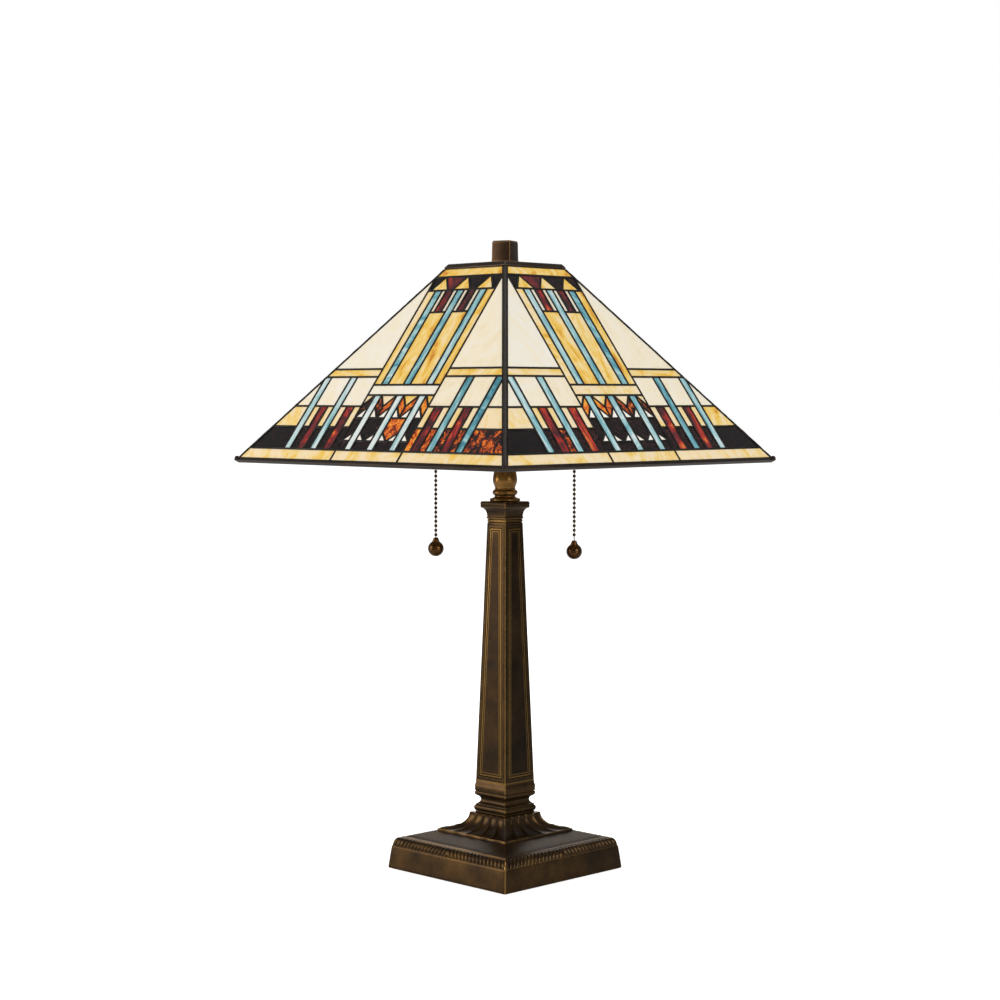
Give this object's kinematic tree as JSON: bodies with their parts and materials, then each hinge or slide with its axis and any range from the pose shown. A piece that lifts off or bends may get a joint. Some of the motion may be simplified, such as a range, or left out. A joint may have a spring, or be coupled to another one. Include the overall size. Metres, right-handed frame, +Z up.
{
  "type": "stained glass table lamp",
  "caption": "Table lamp with a square pyramid shade of leaded glass panes, a cast square column and base, pull-chain sockets and a screw-on finial.",
  "frame": {"origin": "middle of the felt pad's underside, on the table", "axes": "+Z up along the column; +X to the right and -Y to the front, square to the base and to the shade at rest; the two lights stand on the diagonal through +X +Y"},
  "size_m": [0.359, 0.359, 0.5905],
  "materials": {
    "felt": "dark felt",
    "steel": "zinc plated",
    "iron": "rough cast",
    "bronze": "dark antique bronze with rubbed highlights",
    "black_plastic": "moulded phenolic",
    "brass": "satin",
    "fibre": "vulcanised fibre board",
    "aluminium": "drawn",
    "chain": "antique brass beads",
    "ball_bronze": "antique bronze",
    "bulb_glass": "frosted",
    "came": "dark patinated solder",
    "cream_glass": "opalescent cream",
    "amber_glass": "streaky opalescent amber",
    "turquoise_glass": "wispy opalescent turquoise",
    "ruby_glass": "streaky ruby",
    "ember_glass": "mottled ember orange",
    "onyx_glass": "near-black with a plum cast",
    "white_glass": "opalescent white",
    "rim": "dark bronze over brass",
    "finial": "dark antique bronze"
  },
  "bodies": {
    "stand": {"felt_pad": "felt", "bottom_cover": "steel", "cover_screws": "steel", "base_weight": "iron", "base_casting": "bronze", "cord_bushing": "black_plastic", "pipe_nut": "steel", "threaded_pipe": "steel", "column_foot": "bronze", "column_shaft": "bronze", "capital": "bronze", "turned_neck": "bronze", "cluster_hub": "brass", "socket_nipples": "steel", "riser_rod": "brass", "shade_rest": "steel", "socket_caps": "brass", "switch_blocks": "black_plastic", "socket_shells": "brass", "socket_liners": "fibre", "screw_shells": "aluminium", "centre_contacts": "brass", "chain_guides": "brass", "lever_pins": "steel"},
    "shade": {"front_came": "came", "right_came": "came", "back_came": "came", "left_came": "came", "cream_glass": "cream_glass", "amber_glass": "amber_glass", "turquoise_glass": "turquoise_glass", "ruby_glass": "ruby_glass", "ember_glass": "ember_glass", "onyx_glass": "onyx_glass", "white_glass": "white_glass", "hip_cames": "came", "rim_frame": "rim", "vase_cap": "rim"},
    "finial_carrier": {"finial_insert": "brass"},
    "finial": {"finial": "finial"},
    "left_lever": {"left_lever": "brass"},
    "right_lever": {"right_lever": "brass"},
    "left_link": {"left_link": "chain"},
    "right_link": {"right_link": "chain"},
    "left_chain": {"left_chain": "chain", "left_ball": "ball_bronze"},
    "right_chain": {"right_chain": "chain", "right_ball": "ball_bronze"},
    "left_bulb_foot": {"left_bulb_contact": "aluminium"},
    "right_bulb_foot": {"right_bulb_contact": "aluminium"},
    "left_bulb": {"left_bulb_cap": "aluminium", "left_bulb_glass": "bulb_glass"},
    "right_bulb": {"right_bulb_cap": "aluminium", "right_bulb_glass": "bulb_glass"}
  },
  "joints": [
    {"name": "shade_turn", "type": "hinge", "parent": "stand", "child": "shade", "pos_m": [0, 0, 0.567], "axis": [0, 0, 1], "continuous": true},
    {"name": "finial_travel", "type": "slide", "parent": "stand", "child": "finial_carrier", "axis": [0, 0, 1], "range_m": [0, 0.0094]},
    {"name": "finial_turn", "type": "hinge", "parent": "finial_carrier", "child": "finial", "pos_m": [0, 0, 0.575], "axis": [0, 0, 1], "range_deg": [0, 3600]},
    {"name": "left_pull", "type": "slide", "parent": "stand", "child": "left_link", "axis": [0, 0, -1], "range_m": [0, 0.007], "stiffness_N_per_m": 250, "springref_m": -0.003},
    {"name": "right_pull", "type": "slide", "parent": "stand", "child": "right_link", "axis": [0, 0, -1], "range_m": [0, 0.007], "stiffness_N_per_m": 250, "springref_m": -0.003},
    {"name": "left_switch", "type": "hinge", "parent": "stand", "child": "left_lever", "pos_m": [-0.03536, -0.03536, 0.4125], "axis": [0.7071, -0.7071, 0], "range_deg": [0, 30]},
    {"name": "right_switch", "type": "hinge", "parent": "stand", "child": "right_lever", "pos_m": [0.03536, 0.03536, 0.4125], "axis": [-0.7071, 0.7071, 0], "range_deg": [0, 30]},
    {"name": "left_swing", "type": "hinge", "parent": "left_link", "child": "left_chain", "pos_m": [-0.04582, -0.04582, 0.3969], "axis": [0.7071, -0.7071, 0], "range_deg": [-25, 21]},
    {"name": "right_swing", "type": "hinge", "parent": "right_link", "child": "right_chain", "pos_m": [0.04582, 0.04582, 0.3969], "axis": [0.7071, -0.7071, 0], "range_deg": [-21, 25]},
    {"name": "left_bulb_travel", "type": "slide", "parent": "stand", "child": "left_bulb_foot", "axis": [0, 0, 1], "range_m": [0, 0.0163]},
    {"name": "right_bulb_travel", "type": "slide", "parent": "stand", "child": "right_bulb_foot", "axis": [0, 0, 1], "range_m": [0, 0.0163]},
    {"name": "left_bulb_turn", "type": "hinge", "parent": "left_bulb_foot", "child": "left_bulb", "pos_m": [-0.02687, -0.02687, 0.423], "axis": [0, 0, 1], "range_deg": [0, 1620]},
    {"name": "right_bulb_turn", "type": "hinge", "parent": "right_bulb_foot", "child": "right_bulb", "pos_m": [0.02687, 0.02687, 0.423], "axis": [0, 0, 1], "range_deg": [0, 1620]}
  ],
  "couplings": [
    {"joint": "finial_turn", "follows": "finial_travel", "rad_per_m": 6677.4},
    {"joint": "left_switch", "follows": "left_pull", "rad_per_m": 74},
    {"joint": "right_switch", "follows": "right_pull", "rad_per_m": 74},
    {"joint": "left_bulb_turn", "follows": "left_bulb_travel", "rad_per_m": 1731.4},
    {"joint": "right_bulb_turn", "follows": "right_bulb_travel", "rad_per_m": 1731.4}
  ]
}
